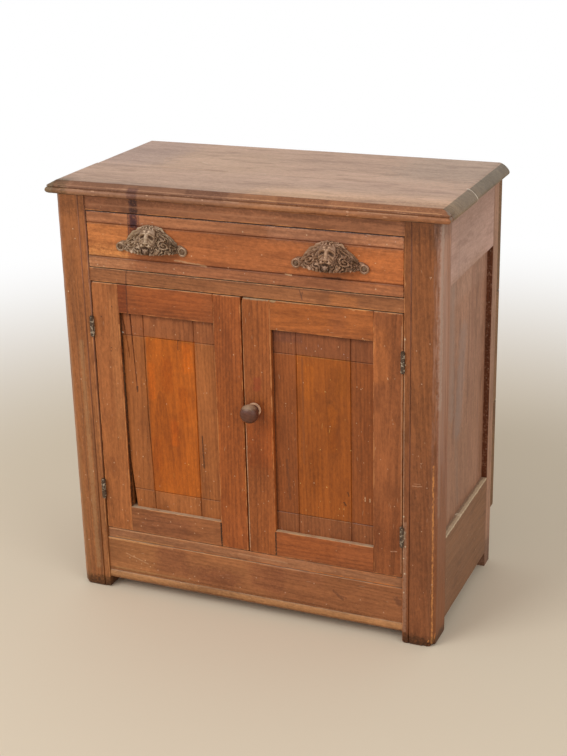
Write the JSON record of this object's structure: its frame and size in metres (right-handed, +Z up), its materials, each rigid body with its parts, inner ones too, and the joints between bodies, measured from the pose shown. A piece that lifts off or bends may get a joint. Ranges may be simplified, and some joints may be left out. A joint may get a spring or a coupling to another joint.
{
  "type": "washstand",
  "caption": "Cottage washstand: a moulded top over a full-width drawer and a pair of panelled doors, on square corner posts that run down as feet.",
  "frame": {"origin": "on the floor, under the middle of the whole piece's box", "axes": "+X to the right along the front, +Y to the back, +Z up; the doors and drawer face -Y"},
  "size_m": [0.704, 0.395, 0.75],
  "materials": {
    "top_wood": "stained pine, dusty and scratched, satin",
    "front_wood": "stained and varnished pine, worn",
    "worn_wood": "stained pine, worn pale along its edge",
    "post_wood": "stained and varnished pine, worn arrises",
    "side_wood": "stained pine, dusty",
    "door_wood": "stained and varnished pine",
    "panel_wood": "varnished pine, orange-brown",
    "drawer_front_wood": "varnished pine, orange-brown",
    "raw_pine": "bare aged pine",
    "knob_wood": "turned hardwood, dark polish",
    "collar_wood": "turned wood, bare",
    "bronze": "antiqued cast brass, dark in the recesses",
    "iron": "dark iron, specks of paint and rust"
  },
  "bodies": {
    "case": {"top_front_board": "top_wood", "top_back_board": "top_wood", "front_post_left": "post_wood", "front_post_right": "post_wood", "rear_post_left": "side_wood", "rear_post_right": "side_wood", "front_top_rail": "front_wood", "mid_rail": "front_wood", "apron_rail": "front_wood", "apron_bead": "worn_wood", "floor_front_board": "front_wood", "floor_back_board": "front_wood", "side_top_rail_left": "side_wood", "side_top_rail_right": "side_wood", "side_bottom_rail_left": "side_wood", "side_bottom_rail_right": "side_wood", "side_panel_left": "side_wood", "side_panel_right": "side_wood", "rear_top_rail": "raw_pine", "back_board_upper": "raw_pine", "back_board_middle": "raw_pine", "back_board_lower": "raw_pine", "drawer_runner_left": "raw_pine", "drawer_runner_right": "raw_pine", "drawer_guide_left": "raw_pine", "drawer_guide_right": "raw_pine", "drawer_kicker_left": "raw_pine", "drawer_kicker_right": "raw_pine", "drawer_stops": "raw_pine", "floor_cleats": "raw_pine", "glue_blocks": "raw_pine", "door_stop": "raw_pine", "post_hinge_leaves": "iron", "hinge_pins": "iron", "post_hinge_screws": "iron"},
    "left_door": {"left_door_hinge_stile": "door_wood", "left_door_meeting_stile": "door_wood", "left_door_top_rail": "door_wood", "left_door_bottom_rail": "door_wood", "left_door_panel": "panel_wood", "left_door_hinge_leaves": "iron", "left_door_hinge_screws": "iron"},
    "right_door": {"right_door_hinge_stile": "door_wood", "right_door_meeting_stile": "door_wood", "right_door_top_rail": "door_wood", "right_door_bottom_rail": "door_wood", "right_door_panel": "panel_wood", "right_door_hinge_leaves": "iron", "right_door_hinge_screws": "iron", "door_knob": "knob_wood", "knob_collar": "collar_wood", "knob_screw": "iron"},
    "drawer": {"drawer_front": "drawer_front_wood", "drawer_side_left": "raw_pine", "drawer_side_right": "raw_pine", "drawer_back": "raw_pine", "drawer_bottom": "raw_pine", "pull_left": "bronze", "pull_right": "bronze", "pull_screws": "iron"}
  },
  "joints": [
    {"name": "drawer_slide", "type": "slide", "parent": "case", "child": "drawer", "axis": [0, -1, 0], "range_m": [0, 0.26]},
    {"name": "left_door_hinge", "type": "hinge", "parent": "case", "child": "left_door", "pos_m": [-0.2782, -0.167, 0.35], "axis": [0, 0, -1], "range_deg": [0, 180]},
    {"name": "right_door_hinge", "type": "hinge", "parent": "case", "child": "right_door", "pos_m": [0.2782, -0.167, 0.35], "axis": [0, 0, 1], "range_deg": [0, 180]}
  ]
}
